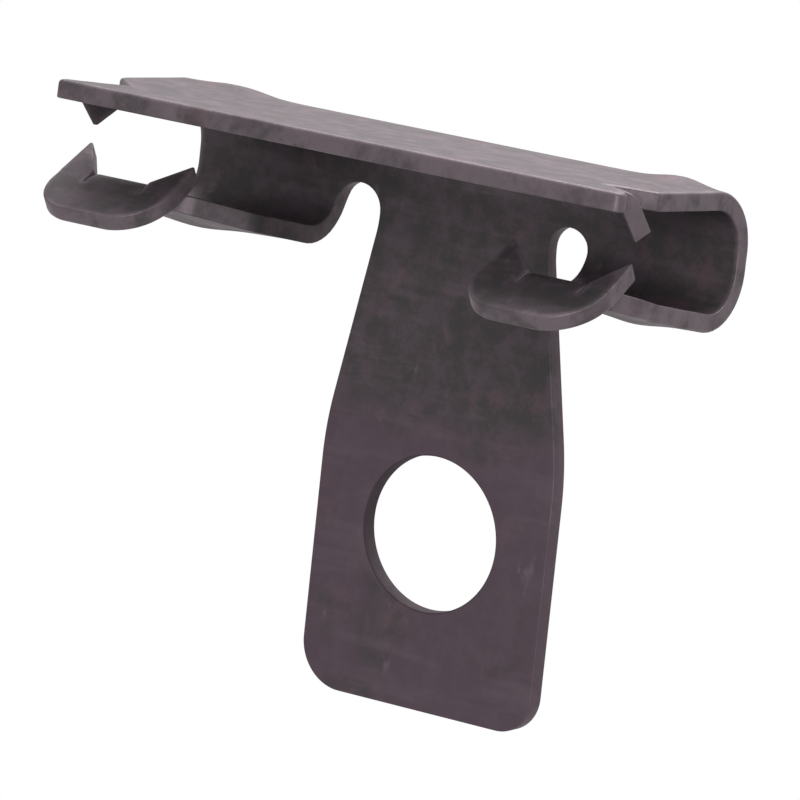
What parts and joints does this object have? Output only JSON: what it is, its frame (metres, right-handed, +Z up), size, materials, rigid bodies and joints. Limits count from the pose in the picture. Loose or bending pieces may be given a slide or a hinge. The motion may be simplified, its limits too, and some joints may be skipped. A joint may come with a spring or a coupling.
{
  "type": "flange clip",
  "caption": "Folded spring steel clip: toothed C jaws hammer onto a beam flange, and a flared tab with a large hole hangs below to carry conduit or cable.",
  "frame": {"origin": "centre of the tab hole, on the front face of the tab", "axes": "+X along the clip over both jaws, +Y from the open front towards the back wall, +Z up from the tab towards the top plate"},
  "size_m": [0.0534, 0.0239, 0.0484],
  "materials": {
    "spring_steel": "satin"
  },
  "bodies": {
    "root": {"flange_clip": "spring_steel"}
  },
  "joints": []
}
